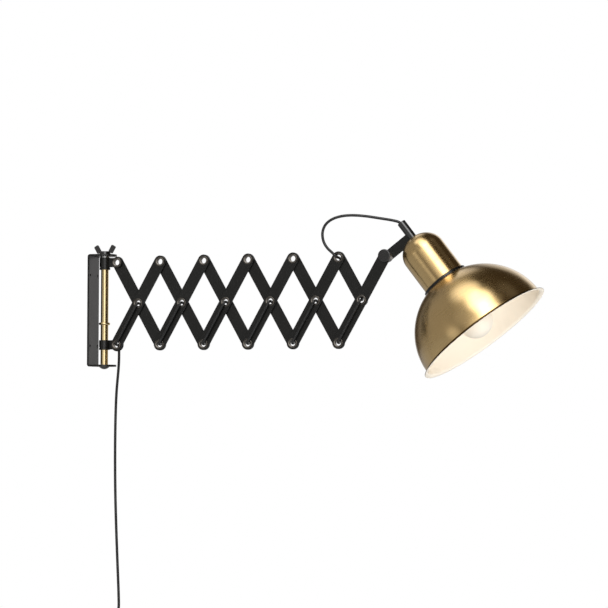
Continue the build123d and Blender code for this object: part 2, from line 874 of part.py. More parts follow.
with BuildPart() as neck_ring:
    with BuildSketch(head_section) as ring_half:
        with BuildLine():
            ring_inside = neck_ring_radius - neck_ring_land
            Polyline(
                (ring_inside, -neck_bottom),
                (neck_ring_radius, -neck_bottom),
                (neck_ring_radius, -shade_skin(neck_ring_radius, hole_gap)),
                (ring_inside, -shade_skin(ring_inside, hole_gap)),
                close=True,
            )
        make_face()
        fillet(ring_half.vertices().sort_by(Axis.X)[-2:], neck_ring_edge)
    revolve(axis=head_axis)
finish(neck_ring, "neck_ring")

# ---- shade -----------------------------------------------------------------------------

with BuildPart() as shade:
    with BuildSketch(head_section):
        with BuildLine():
            dome_centre = (0, -shade_dome_base)
            inner_radius = shade_radius - shade_wall
            inner_height = shade_dome_height - shade_wall
            skin_arc = degrees(acos(shade_hole_radius / shade_radius))
            skin = EllipticalCenterArc(
                dome_centre, shade_radius, shade_dome_height, skin_arc, arc_size=-skin_arc
            )
            lining_arc = degrees(acos(shade_hole_radius / inner_radius))
            lining = EllipticalCenterArc(
                dome_centre, inner_radius, inner_height, lining_arc, arc_size=-lining_arc
            )
            Line(skin @ 0, lining @ 0)
            turn_centre = (shade_radius + shade_lip_turn, -shade_dome_base)
            flare = CenterArc(turn_centre, shade_lip_turn, 2 * quarter_turn, quarter_turn)
            under = CenterArc(turn_centre, shade_lip_turn + shade_wall, 2 * quarter_turn, quarter_turn)
            lip_top = (shade_radius + shade_flare, -shade_dome_base - shade_lip_turn)
            lip_foot = (lip_top[0], lip_top[1] - shade_wall)
            Line(flare @ 1, lip_top)
            ThreePointArc(lip_top, (lip_top[0] + shade_wall / 2, lip_top[1] - shade_wall / 2), lip_foot)
            Line(lip_foot, under @ 1)
        make_face()
    revolve(axis=head_axis)
finish(shade, "shade")

# ---- lamp holder, its ring, the bulb and its cap ---------------------------------------

bulb_cap_end = holder_mouth + bulb_cap_below_holder
cap_top = bulb_cap_end - bulb_cap_length
socket_floor = cap_top - bulb_contact_height - seat_gap
globe_depth = holder_mouth + bulb_globe_below_holder

with BuildPart() as lamp_holder:
    with BuildSketch(head_section):
        with BuildLine():
            shoulder = holder_top + holder_boss_height
            body_top = shoulder + holder_shoulder_height
            flange_foot = shade_skin(shade_hole_radius) - seat_gap
            Polyline(
                (stem_bore, -holder_top),
                (holder_boss_radius, -holder_top),
                (holder_boss_radius, -shoulder),
                (holder_radius, -body_top),
                (holder_radius, -(flange_foot - holder_flange_height)),
                (holder_flange_radius, -(flange_foot - holder_flange_height)),
                (holder_flange_radius, -flange_foot),
                (holder_radius, -flange_foot),
                (holder_radius, -holder_mouth),
                (bulb_cap_radius + seat_gap, -holder_mouth),
                (bulb_cap_radius + seat_gap, -socket_floor),
                (0, -socket_floor),
                (0, -nipple_drop),
                (stem_bore, -nipple_drop),
                close=True,
            )
        make_face()
    revolve(axis=head_axis)
finish(lamp_holder, "lamp_holder")

ring_seat = shade_skin(holder_ring_radius, -shade_wall) + hole_gap

with BuildPart() as holder_ring:
    with BuildSketch(head_level(ring_seat + holder_ring_height)):
        Circle(holder_ring_radius)
        Circle(holder_radius + running_gap, mode=Mode.SUBTRACT)
    extrude(amount=holder_ring_height)
    rims = holder_ring.edges().filter_by(GeomType.CIRCLE)
    chamfer(rims.filter_by(lambda e: e.radius > holder_radius + running_gap), length=holder_ring_edge)
finish(holder_ring, "holder_ring")

with BuildPart() as bulb_cap:
    with BuildSketch(head_section):
        with BuildLine():
            Polyline(
                (0, -(cap_top - bulb_contact_height)),
                (bulb_contact_radius, -(cap_top - bulb_contact_height)),
                (bulb_cap_radius - bulb_contact_cone, -cap_top),
                (bulb_cap_radius, -cap_top - bulb_contact_cone),
                (bulb_cap_radius, -bulb_cap_end),
                (0, -bulb_cap_end),
                close=True,
            )
        make_face()
    revolve(axis=head_axis)
finish(bulb_cap, "bulb_cap")

with BuildPart() as bulb_glass:
    with BuildSketch(head_section):
        with BuildLine():
            globe_arc = quarter_turn + bulb_shoulder_angle
            globe = CenterArc((0, -globe_depth), bulb_globe_radius, -quarter_turn, globe_arc)
            throat_radius = bulb_cap_radius - bulb_throat_inset
            throat = Bezier(
                globe @ 1,
                globe @ 1 + (globe % 1) * bulb_shoulder_run,
                (throat_radius, -bulb_cap_end - bulb_throat_run),
                (throat_radius, -bulb_cap_end),
            )
            Polyline(throat @ 1, (0, -bulb_cap_end), globe @ 0)
        make_face()
    revolve(axis=head_axis)
finish(bulb_glass, "bulb_glass")

print(f"knuckle at {knuckle.X:.2f}, {knuckle.Z:.2f}; head origin {head_origin.X:.2f}, {head_origin.Z:.2f}")
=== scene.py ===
import json
from math import cos, pi, radians, sin, sqrt

import bmesh
import bpy
import numpy as np
from mathutils import Matrix, Vector


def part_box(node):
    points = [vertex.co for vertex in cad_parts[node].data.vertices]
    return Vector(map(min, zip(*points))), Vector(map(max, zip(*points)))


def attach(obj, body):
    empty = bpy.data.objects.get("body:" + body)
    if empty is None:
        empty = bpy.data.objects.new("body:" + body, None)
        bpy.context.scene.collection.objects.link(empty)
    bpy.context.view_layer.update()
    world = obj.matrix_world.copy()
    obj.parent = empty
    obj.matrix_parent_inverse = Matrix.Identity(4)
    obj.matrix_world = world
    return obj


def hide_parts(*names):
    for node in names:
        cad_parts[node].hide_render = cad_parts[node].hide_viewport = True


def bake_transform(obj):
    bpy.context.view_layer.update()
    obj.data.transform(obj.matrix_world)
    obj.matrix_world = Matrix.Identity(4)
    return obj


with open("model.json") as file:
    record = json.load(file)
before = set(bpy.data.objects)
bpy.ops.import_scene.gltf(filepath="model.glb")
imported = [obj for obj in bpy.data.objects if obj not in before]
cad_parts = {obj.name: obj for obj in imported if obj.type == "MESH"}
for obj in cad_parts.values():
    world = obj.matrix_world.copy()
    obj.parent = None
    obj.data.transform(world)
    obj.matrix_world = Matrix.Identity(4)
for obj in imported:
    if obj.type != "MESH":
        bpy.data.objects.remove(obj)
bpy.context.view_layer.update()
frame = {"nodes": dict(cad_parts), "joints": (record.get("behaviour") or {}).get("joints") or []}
scene = bpy.context.scene
nodes = frame["nodes"]

# ---- camera ----------------------------------------------------------------------------
# A long lens a little to the right of square on and slightly below the arm, looking up.
# Its place and turn come from the pivots, the post and the rim in the photograph.

photo_width = 608
focal_pixels = 2156.7
camera_azimuth = radians(18.771)
camera_tilt = radians(2.865)
camera_roll = radians(0.115)
camera_place = Vector((1.41711, -3.12614, -0.15949))

level = Vector((cos(camera_azimuth), sin(camera_azimuth), 0))
ahead = Vector((-sin(camera_azimuth), cos(camera_azimuth), 0))
gaze = ahead * cos(camera_tilt) + Vector((0, 0, sin(camera_tilt)))
upright = level.cross(gaze)
right = level * cos(camera_roll) + upright * sin(camera_roll)
above = right.cross(gaze)

camera_data = bpy.data.cameras.new("camera")
camera_data.sensor_width = 36.0
camera_data.lens = focal_pixels / photo_width * camera_data.sensor_width
camera_data.clip_end = 50.0
camera = bpy.data.objects.new("camera", camera_data)
scene.collection.objects.link(camera)
camera.matrix_world = Matrix(
    (
        (right.x, above.x, -gaze.x, camera_place.x),
        (right.y, above.y, -gaze.y, camera_place.y),
        (right.z, above.z, -gaze.z, camera_place.z),
        (0, 0, 0, 1),
    )
)
scene.camera = camera

# ---- studio ----------------------------------------------------------------------------
# A white room for the eye. Glossy surfaces see warm dark flags with soft bright spots among
# them, which draw the highlights and the dark edges on the brass and the black enamel.


def add_node(tree, kind, **settings):
    """New shader node; a setting that names an input sets its value, any other sets a property."""
    new = tree.nodes.new(kind)
    for key, value in settings.items():
        name = key.replace("_", " ")
        socket = next((s for s in new.inputs if s.name.lower() == name.lower()), None)
        if socket is not None and not hasattr(new, key):
            socket.default_value = value
        else:
            setattr(new, key, value)
    return new


def lobe(tree, direction, towards, inner, outer, strength):
    """Smooth spot on the sky: full strength within the inner angle, nothing past the outer one."""
    dot = add_node(tree, "ShaderNodeVectorMath", operation="DOT_PRODUCT")
    tree.links.new(direction, dot.inputs[0])
    dot.inputs[1].default_value = Vector(towards).normalized()
    ramp = add_node(tree, "ShaderNodeMapRange", interpolation_type="SMOOTHSTEP")
    ramp.inputs["From Min"].default_value = cos(radians(outer))
    ramp.inputs["From Max"].default_value = cos(radians(inner))
    ramp.inputs["To Max"].default_value = strength
    tree.links.new(dot.outputs["Value"], ramp.inputs["Value"])
    return ramp.outputs["Result"]


def summed(tree, values):
    """Sum of several values."""
    total = values[0]
    for value in values[1:]:
        plus = add_node(tree, "ShaderNodeMath", operation="ADD")
        tree.links.new(total, plus.inputs[0])
        tree.links.new(value, plus.inputs[1])
        total = plus.outputs[0]
    return total


room_light = 0.62
flag_tone = (0.035, 0.025, 0.014)
sky_lobes = [
    ((0.37, -0.76, 0.53), 8, 24, 2.90),
    ((0.06, -0.61, 0.79), 9, 26, 2.50),
    ((-0.36, -0.26, 0.90), 5, 24, 1.45),
    ((0.36, -0.93, 0.00), 12, 32, 1.35),
    ((-0.58, -0.80, -0.13), 3, 17, 0.62),
    ((-0.12, -0.90, 0.40), 10, 36, 0.34),
    ((-0.48, 0.56, 0.67), 4, 19, 0.90),
    ((-0.92, -0.18, 0.22), 22, 58, 0.26),
    ((0.50, 0.05, 0.86), 3, 18, 0.08),
    ((-0.04, 0.88, 0.48), 5, 18, 0.42),
    ((0.10, 0.98, -0.15), 18, 46, 0.74),
]

room = bpy.data.worlds.new("white_room")
room.use_nodes = True
scene.world = room
sky = room.node_tree
sky.nodes.clear()
sky_direction = add_node(sky, "ShaderNodeTexCoord").outputs["Generated"]
mirrored = summed(sky, [lobe(sky, sky_direction, *spot) for spot in sky_lobes])
with_flags = add_node(sky, "ShaderNodeVectorMath", operation="ADD")
with_flags.inputs[1].default_value = flag_tone
sky.links.new(mirrored, with_flags.inputs[0])
ray = add_node(sky, "ShaderNodeLightPath")
sky_colour = add_node(sky, "ShaderNodeRGB")
sky_colour.outputs[0].default_value = (room_light, room_light, room_light, 1)
seen_by = [("Is Glossy Ray", with_flags.outputs[0]), ("Is Camera Ray", None), ("Is Transmission Ray", None)]
seen_colour = sky_colour.outputs[0]
for ray_kind, its_colour in seen_by:
    pick = add_node(sky, "ShaderNodeMix", data_type="RGBA")
    pick.inputs[7].default_value = (1, 1, 1, 1)
    sky.links.new(ray.outputs[ray_kind], pick.inputs[0])
    sky.links.new(seen_colour, pick.inputs[6])
    if its_colour is not None:
        sky.links.new(its_colour, pick.inputs[7])
    seen_colour = pick.outputs[2]
background = add_node(sky, "ShaderNodeBackground", strength=1.0)
sky.links.new(seen_colour, background.inputs["Color"])
world_out = add_node(sky, "ShaderNodeOutputWorld")
sky.links.new(background.outputs[0], world_out.inputs[0])

arm_middle = Vector((0.36, 0.0, 0.0))
soft_boxes = [
    ("key_light", (0.3, -2.6, 2.0), 1.3, 16.0),
    ("fill_light", (-0.7, -1.1, 0.6), 0.8, 13.0),
    ("mouth_light", (2.1, -1.3, -1.0), 1.2, 45.0),
]
for lamp_name, lamp_place, lamp_side, lamp_watts in soft_boxes:
    lamp_data = bpy.data.lights.new(lamp_name, "AREA")
    lamp_data.shape = "SQUARE"
    lamp_data.size = lamp_side
    lamp_data.energy = lamp_watts
    lamp = bpy.data.objects.new(lamp_name, lamp_data)
    scene.collection.objects.link(lamp)
    lamp.location = lamp_place
    lamp.visible_glossy = False
    lamp.rotation_euler = (arm_middle - Vector(lamp_place)).to_track_quat("-Z", "Y").to_euler()

scene.view_settings.view_transform = "Standard"

# The floor lies well below the lamp. It is white from above and not there from below.
floor_drop = -1.25
floor_half = 6.0
floor_grey = 0.50
floor_mesh = bpy.data.meshes.new("floor")
floor_corners = [(x, y, floor_drop) for x, y in ((-1, -1), (1, -1), (1, 1), (-1, 1))]
floor_corners = [(x * floor_half, y * floor_half, z) for x, y, z in floor_corners]
floor_mesh.from_pydata(floor_corners, [], [(0, 1, 2, 3)])
floor = bpy.data.objects.new("floor", floor_mesh)
scene.collection.objects.link(floor)

floor_paint = bpy.data.materials.new("floor_white")
floor_paint.use_nodes = True
tree = floor_paint.node_tree
tree.nodes.clear()
matt_white = add_node(tree, "ShaderNodeBsdfDiffuse")
matt_white.inputs["Color"].default_value = (floor_grey, floor_grey, floor_grey, 1)
plain_white = add_node(tree, "ShaderNodeEmission", strength=1.0)
clear = add_node(tree, "ShaderNodeBsdfTransparent")
floor_ray = add_node(tree, "ShaderNodeLightPath")
underside = add_node(tree, "ShaderNodeNewGeometry")
white_mix = add_node(tree, "ShaderNodeMixShader")
side_mix = add_node(tree, "ShaderNodeMixShader")
floor_out = add_node(tree, "ShaderNodeOutputMaterial")
tree.links.new(floor_ray.outputs["Is Camera Ray"], white_mix.inputs[0])
tree.links.new(matt_white.outputs[0], white_mix.inputs[1])
tree.links.new(plain_white.outputs[0], white_mix.inputs[2])
tree.links.new(underside.outputs["Backfacing"], side_mix.inputs[0])
tree.links.new(white_mix.outputs[0], side_mix.inputs[1])
tree.links.new(clear.outputs[0], side_mix.inputs[2])
tree.links.new(side_mix.outputs[0], floor_out.inputs[0])
floor_mesh.materials.append(floor_paint)

# ---- cord ------------------------------------------------------------------------------
# Round black flex, 4.2 mm. It goes through the hollow rivets, in front of each rising bar
# and behind each falling bar, and comes out as a free loop to the head and a tail below.

cord_diameter = 0.0042
cord_sides = 20


def smooth_line(route, steps=8):
    """Points along the NURBS line of order 3 that has the route as its control points."""
    curve = bpy.data.curves.new("route", "CURVE")
    curve.dimensions = "3D"
    curve.resolution_u = steps
    line = curve.splines.new("NURBS")
    line.points.add(len(route) - 1)
    for point, place in zip(line.points, route):
        point.co = (*place, 1.0)
    line.order_u = 3
    line.use_endpoint_u = True
    holder = bpy.data.objects.new("route", curve)
    scene.collection.objects.link(holder)
    bpy.context.view_layer.update()
    graph = bpy.context.evaluated_depsgraph_get()
    traced = bpy.data.meshes.new_from_object(holder.evaluated_get(graph))
    path = np.array([v.co for v in traced.vertices])
    bpy.data.objects.remove(holder)
    bpy.data.curves.remove(curve)
    bpy.data.meshes.remove(traced)
    return path


def grid_mesh(name, points, around, wrap_rows=False, cell_of_row=None):
    """Mesh of a grid of points. Columns close round; the UV map holds turns and metres."""
    rows, columns = points.shape[:2]
    last_row = rows if wrap_rows else rows - 1
    row, column = np.meshgrid(np.arange(last_row), np.arange(columns), indexing="ij")
    next_row = (row + 1) % rows
    next_column = (column + 1) % columns
    corners = [row * columns + column, row * columns + next_column]
    corners += [next_row * columns + next_column, next_row * columns + column]
    faces = np.stack(corners, axis=-1).reshape(-1, 4)
    mesh = bpy.data.meshes.new(name)
    mesh.from_pydata(points.reshape(-1, 3).tolist(), [], faces.tolist())
    step = np.linalg.norm(np.diff(points.mean(axis=1) if around is None else around, axis=0), axis=1)
    along = np.concatenate([[0], np.cumsum(step)])
    if wrap_rows:
        along = np.append(along, along[-1] + step.mean())
    u = np.stack([column, column + 1, column + 1, column], axis=-1) / columns
    v = np.stack([along[row], along[row], along[row + 1], along[row + 1]], axis=-1)
    uv = mesh.uv_layers.new(name="UVMap")
    uv.data.foreach_set("uv", np.stack([u, v], axis=-1).astype(np.float32).ravel())
    if cell_of_row is not None:
        cell_of_face = np.repeat(cell_of_row[:last_row], columns)
        mesh.polygons.foreach_set("material_index", cell_of_face.astype(np.int32))
    mesh.polygons.foreach_set("use_smooth", np.ones(len(faces), bool))
    mesh.update()
    return mesh


def tube_mesh(name, path, radius, sides):
    """Round tube: circles square to the path, turned as little as possible from one to the next."""
    tangent = np.gradient(path, axis=0)
    tangent /= np.linalg.norm(tangent, axis=1)[:, None]
    side = np.cross(tangent[0], (0.31, 0.55, 0.77))
    sides_list = []
    for t in tangent:
        side = side - t * (side @ t)
        side = side / np.linalg.norm(side)
        sides_list.append(side)
    across = np.array(sides_list)
    other = np.cross(tangent, across)
    angle = np.linspace(0, 2 * pi, sides, endpoint=False)
    circle = across[:, None] * np.cos(angle)[None, :, None] + other[:, None] * np.sin(angle)[None, :, None]
    return grid_mesh(name, path[:, None] + radius * circle, path)


def close_ends(mesh):
    """Fills the open ends, merges doubled points and turns every face outwards."""
    work = bmesh.new()
    work.from_mesh(mesh)
    bmesh.ops.remove_doubles(work, verts=work.verts, dist=1e-7)
    bmesh.ops.holes_fill(work, edges=[e for e in work.edges if e.is_boundary], sides=0)
    bmesh.ops.recalc_face_normals(work, faces=work.faces)
    work.to_mesh(mesh)
    work.free()


def new_piece(name, mesh, materials, body=None, instead_of=()):
    """Object for a finished mesh, with its materials, body and the CAD nodes that it replaces."""
    for finish in materials:
        mesh.materials.append(finish)
    piece = bpy.data.objects.new(name, mesh)
    scene.collection.objects.link(piece)
    if body:
        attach(piece, body)
    if instead_of:
        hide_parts(*instead_of)
    return piece


def paint(node, material):
    """Gives a CAD node its finish."""
    nodes[node].data.materials.clear()
    nodes[node].data.materials.append(material)


def new_material(name, base, roughness, metallic=0.0, **sockets):
    """Material with one Principled shader, and its tree and shader for more nodes."""
    material = bpy.data.materials.new(name)
    material.use_nodes = True
    shader = material.node_tree.nodes["Principled BSDF"]
    shader.inputs["Base Color"].default_value = (*base, 1)
    shader.inputs["Roughness"].default_value = roughness
    shader.inputs["Metallic"].default_value = metallic
    for key, value in sockets.items():
        shader.inputs[key.replace("_", " ").title().replace("Ior", "IOR")].default_value = value
    return material, material.node_tree, shader


def make_group(name, inputs, outputs):
    """Empty shader node group with named inputs and outputs."""
    group = bpy.data.node_groups.new(name, "ShaderNodeTree")
    for label, kind, value in inputs:
        socket = group.interface.new_socket(label, in_out="INPUT", socket_type=kind)
        if value is not None:
            socket.default_value = value
    for label, kind in outputs:
        group.interface.new_socket(label, in_out="OUTPUT", socket_type=kind)
    return group, group.nodes.new("NodeGroupInput"), group.nodes.new("NodeGroupOutput")


# Uneven skin: two noises, one coarse for cloudy tone and one fine for the skin's texture.
uneven_skin, skin_in, skin_out = make_group(
    "uneven_skin",
    [
        ("Coordinates", "NodeSocketVector", None),
        ("Colour", "NodeSocketColor", (0.5, 0.5, 0.5, 1)),
        ("Roughness", "NodeSocketFloat", 0.4),
        ("Cloud Size", "NodeSocketFloat", 0.03),
        ("Grain Size", "NodeSocketFloat", 0.0008),
        ("Tone Change", "NodeSocketFloat", 0.1),
        ("Roughness Change", "NodeSocketFloat", 0.1),
    ],
    [("Colour", "NodeSocketColor"), ("Roughness", "NodeSocketFloat"), ("Height", "NodeSocketFloat")],
)


def group_math(tree, operation, *values):
    """Math node on sockets or numbers."""
    math_node = add_node(tree, "ShaderNodeMath", operation=operation)
    for socket, value in zip(math_node.inputs, values):
        if isinstance(value, (int, float)):
            socket.default_value = value
        else:
            tree.links.new(value, socket)
    return math_node.outputs[0]


def noise(tree, coordinates, size, detail=3.0):
    """Noise whose features are about the given size in metres."""
    texture = add_node(tree, "ShaderNodeTexNoise", detail=detail)
    tree.links.new(coordinates, texture.inputs["Vector"])
    if isinstance(size, (int, float)):
        texture.inputs["Scale"].default_value = 1.0 / size
    else:
        tree.links.new(group_math(tree, "DIVIDE", 1.0, size), texture.inputs["Scale"])
    return texture.outputs["Fac"]


cloud = noise(uneven_skin, skin_in.outputs["Coordinates"], skin_in.outputs["Cloud Size"])
grain = noise(uneven_skin, skin_in.outputs["Coordinates"], skin_in.outputs["Grain Size"], 2.0)
centred_cloud = group_math(uneven_skin, "SUBTRACT", cloud, 0.5)
tone = group_math(uneven_skin, "MULTIPLY_ADD", centred_cloud, skin_in.outputs["Tone Change"], 1.0)
toned = add_node(uneven_skin, "ShaderNodeVectorMath", operation="SCALE")
uneven_skin.links.new(skin_in.outputs["Colour"], toned.inputs[0])
uneven_skin.links.new(tone, toned.inputs["Scale"])
rough_change = skin_in.outputs["Roughness Change"]
rough = group_math(uneven_skin, "MULTIPLY_ADD", centred_cloud, rough_change, skin_in.outputs["Roughness"])
uneven_skin.links.new(toned.outputs[0], skin_out.inputs["Colour"])
uneven_skin.links.new(rough, skin_out.inputs["Roughness"])
uneven_skin.links.new(grain, skin_out.inputs["Height"])


def dress(
    name, base, roughness, metallic, cloud_size, grain_size, tone_change, rough_change, bump, **sockets
):
    """Material whose tone, gloss and skin vary by the uneven_skin group."""
    material, tree, shader = new_material(name, base, roughness, metallic, **sockets)
    coordinates = add_node(tree, "ShaderNodeTexCoord").outputs["Object"]
    skin = add_node(tree, "ShaderNodeGroup", node_tree=uneven_skin)
    skin.inputs["Colour"].default_value = (*base, 1)
    skin.inputs["Roughness"].default_value = roughness
    skin.inputs["Cloud Size"].default_value = cloud_size
    skin.inputs["Grain Size"].default_value = grain_size
    skin.inputs["Tone Change"].default_value = tone_change
    skin.inputs["Roughness Change"].default_value = rough_change
    tree.links.new(coordinates, skin.inputs["Coordinates"])
    tree.links.new(skin.outputs["Colour"], shader.inputs["Base Color"])
    tree.links.new(skin.outputs["Roughness"], shader.inputs["Roughness"])
    surface = add_node(tree, "ShaderNodeBump", distance=0.0002)
    surface.inputs["Strength"].default_value = bump
    tree.links.new(skin.outputs["Height"], surface.inputs["Height"])
    tree.links.new(surface.outputs[0], shader.inputs["Normal"])
    return material


cord_black = dress("cord_black", (0.006, 0.006, 0.006), 0.38, 0, 0.02, 0.0012, 0.4, 0.12, 0.2, ior=1.55)

# Pivots of the scissor arm, read from the joints that turn about them.
pivot = {joint["name"]: Vector(joint["pos_m"]) for joint in frame["joints"]}
cell_count = 6
middle_pivots = [pivot[f"fold_rising_{k}"] if k % 2 else pivot[f"fold_falling_{k}"] for k in range(1, 7)]
bar_pitch = middle_pivots[1].x - middle_pivots[0].x
first_top = pivot["arm_fold"]
first_bottom = pivot["fold_lower_collar"]
top_pivots = [first_top + Vector((k * bar_pitch, 0, 0)) for k in range(cell_count)]
bottom_pivots = [first_bottom + Vector((k * bar_pitch, 0, 0)) for k in range(cell_count)]

cord_rise = 0.0063


def threaded_route(start, end, side):
    """Out of one rivet, along the bar's face and into the next rivet."""
    away = Vector((0, side * cord_rise, 0))
    run = (end - start).normalized() * cord_rise
    corners = [start, start + away, start + away + run, end + away - run, end + away, end]
    return [tuple(corner) for corner in corners]


for k in range(1, cell_count + 1):
    runs = [("front", middle_pivots[k - 1], bottom_pivots[k - 1], -1, f"rising_bar_{k}")]
    if k < cell_count:
        runs.append(("back", bottom_pivots[k], middle_pivots[k - 1], 1, f"falling_bar_{k}"))
    else:
        runs.append(("back", top_pivots[k - 1], middle_pivots[k - 1], 1, f"falling_bar_{k}"))
    for face, start, end, side, body in runs:
        path = smooth_line(threaded_route(start, end, side), 10)
        mesh = tube_mesh(f"flex_{face}_{k}", path, cord_diameter / 2, cord_sides)
        close_ends(mesh)
        new_piece(f"flex_{face}_{k}", mesh, [cord_black], body, [f"cord_{face}_{k}"])

# ---- free loop of cord -----------------------------------------------------------------
# It leaves the last top rivet forwards, stands up in a springy arch and bends down into the
# stem's mouth. It is in two lengths that meet left of the arch's top.

stem_lean = radians(37.4)
stem_up = Vector((-sin(stem_lean), 0, cos(stem_lean)))
outward = Vector((cos(stem_lean), 0, sin(stem_lean)))
head_reach = 0.0475
head_setback = 0.0155
stem_top = 0.0282
cord_in_stem = 0.012
head_origin = pivot["head_tilt"] + outward * head_reach + Vector((0, head_setback, 0))
stem_mouth = head_origin + stem_up * stem_top
loop_route = [
    tuple(top_pivots[-1]),
    (top_pivots[-1].x, -0.0085, top_pivots[-1].z),
    (0.4035, -0.0098, 0.0825),
    (0.3940, -0.0100, 0.0910),
    (0.3878, -0.0095, 0.1025),
    (0.3868, -0.0088, 0.1165),
    (0.3930, -0.0078, 0.1290),
    (0.4065, -0.0060, 0.1370),
    (0.4255, -0.0022, 0.1404),
    (0.4490, 0.0034, 0.1392),
    (0.4730, 0.0096, 0.1352),
    (0.4935, 0.0140, 0.1318),
    tuple(stem_mouth),
    tuple(stem_mouth - stem_up * cord_in_stem),
]
meeting = 8
meeting_point = tuple((Vector(loop_route[meeting - 1]) + Vector(loop_route[meeting])) / 2)


loop_steps = 12
rise_path = smooth_line(loop_route[:meeting] + [meeting_point], loop_steps)
fall_path = smooth_line([meeting_point] + loop_route[meeting:], loop_steps)
rise_bend, fall_bend = radians(120), radians(-40)
for name, path, bodies, exit_point, bend in (
    ("flex_loop_rise", rise_path, ("falling_bar_6", "rising_bar_6"), loop_route[0], rise_bend),
    ("flex_loop_fall", fall_path, ("rising_bar_6", "head"), meeting_point, fall_bend),
):
    mesh = tube_mesh(name, path, cord_diameter / 2, cord_sides)
    close_ends(mesh)
    piece = new_piece(name, mesh, [cord_black])
    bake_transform(piece)
    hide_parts("cord_loop")

# ---- tail of cord, its coil and its ties -----------------------------------------------
# The flex leaves the lowest rivet at the back, passes the bracket's ear and hangs straight
# down. Its spare length is a flat two-layer coil held by two soft bands, with the plug below.

coil_turn = radians(15)
coil_across = Vector((cos(coil_turn), sin(coil_turn), 0))
coil_up = Vector((0, 0, 1))
coil_face = Vector((sin(coil_turn), -cos(coil_turn), 0))
coil_pitch = 0.0048
coil_outer_radius = 0.0336
coil_half_turns = 8
coil_reversal_step = 0.0034
coil_entry = radians(135)
coil_end_run = 0.0042
tail_last_run = 0.018
lead_first_run = 0.008
lead_drop = 0.046
hang_line = Vector((0.042, 0.0168, -0.516))

entry_out = coil_across * cos(coil_entry) + coil_up * sin(coil_entry)
entry_along = coil_up * cos(coil_entry) - coil_across * sin(coil_entry)
entry_shift = coil_outer_radius * cos(coil_entry) + (coil_end_run + tail_last_run) * sin(coil_entry)
coil_centre = hang_line - coil_across * entry_shift + coil_face * (coil_pitch / 2)
wound_start = coil_centre - coil_face * (coil_pitch / 2) + entry_out * coil_outer_radius
coil_start = wound_start - entry_along * coil_end_run
tail_bend = coil_start - entry_along * tail_last_run

tail_route = [
    tuple(bottom_pivots[0]),
    (bottom_pivots[0].x, 0.0085, bottom_pivots[0].z),
    (0.0426, 0.0096, -0.0645),
    (0.0417, 0.0116, -0.0790),
    (0.0391, 0.0154, -0.0945),
    (0.0359, 0.0194, -0.1095),
    (0.0332, 0.0222, -0.1260),
    (0.0316, 0.0234, -0.1480),
    (0.0308, 0.0234, -0.1840),
    (0.0314, 0.0218, -0.2380),
    (0.0338, 0.0184, -0.2920),
    (0.0364, 0.0170, -0.3460),
    (0.0392, 0.0164, -0.4000),
    (0.0414, 0.0166, -0.4460),
    tuple(tail_bend),
    tuple(coil_start),
]

# Distance from the coil's centre and layer height at each half turn; the layer changes in
# the half turn where the spiral reverses.
inward = [coil_outer_radius - i * coil_pitch / 2 for i in range(coil_half_turns)]
inmost = inward[-1] - coil_reversal_step
outward_again = [inmost + coil_reversal_step + i * coil_pitch / 2 for i in range(coil_half_turns - 1)]
station_radius = inward + [inmost, inmost] + outward_again
station_layer = [-0.5] * (coil_half_turns + 1) + [0.5] * coil_half_turns
points_per_turn = 16
half_turn = np.arange(0, len(station_radius) - 1 + 1e-9, 2 / points_per_turn)
wound_radius = np.interp(half_turn, np.arange(len(station_radius)), station_radius)
wound_layer = np.interp(half_turn, np.arange(len(station_layer)), station_layer) * coil_pitch
wound_angle = half_turn * pi
coil_route = [
    tuple(coil_centre + entry_out * (r * cos(a)) + entry_along * (r * sin(a)) + coil_face * h)
    for r, a, h in zip(wound_radius, wound_angle, wound_layer)
]
lead_radius = station_radius[-1]
lead_centre = coil_centre + coil_face * (coil_pitch / 2)
lead_angles = [coil_entry + radians(angle) for angle in (15, 30, 45)]
lead_route = [
    tuple(lead_centre + coil_across * (lead_radius * cos(a)) + coil_up * (lead_radius * sin(a)))
    for a in lead_angles
]
lead_start = Vector(lead_route[-1])
lead_route += [tuple(lead_start - coil_up * lead_first_run), tuple(lead_start - coil_up * lead_drop)]
tail_path = smooth_line(tail_route + coil_route + lead_route, 6)

band_black = dress("band_black", (0.02, 0.02, 0.021), 0.6, 0, 0.01, 0.0006, 0.3, 0.1, 0.3)
mesh = tube_mesh("flex_tail", tail_path, cord_diameter / 2, cord_sides)
close_ends(mesh)
tail = new_piece("flex_tail", mesh, [cord_black], "lower_slide", ["cord_tail", "cord_coil"])
paint("coil_ties", band_black)

# ---- bracket, collars and bars ---------------------------------------------------------
# Pressed and punched steel under a satin black enamel: the bracket, the collars with their
# lugs, the bars and the head's strap.

enamel_black = dress("enamel_black", (0.0045, 0.0045, 0.0040), 0.30, 0, 0.05, 0.0016, 0.35, 0.10, 0.10)
enamelled = ["wall_bracket", "upper_collar", "lower_collar", "head_strap"]
enamelled += [f"falling_bar_{k}" for k in range(1, 7)] + [f"rising_bar_{k}" for k in range(1, 7)]
for node in enamelled:
    paint(node, enamel_black)

# ---- gloss black parts -----------------------------------------------------------------
# The wing nut, the through bolt and the knuckle's knob are dipped in a glossier black.

gloss_black = dress("gloss_black", (0.007, 0.007, 0.007), 0.24, 0, 0.02, 0.001, 0.3, 0.08, 0.06, ior=1.8)
for node in ("wing_nut", "pivot_bolt", "knuckle_knob"):
    paint(node, gloss_black)

# ---- post ------------------------------------------------------------------------------
# Drawn brass tube between the bracket's ears, polished along its length.

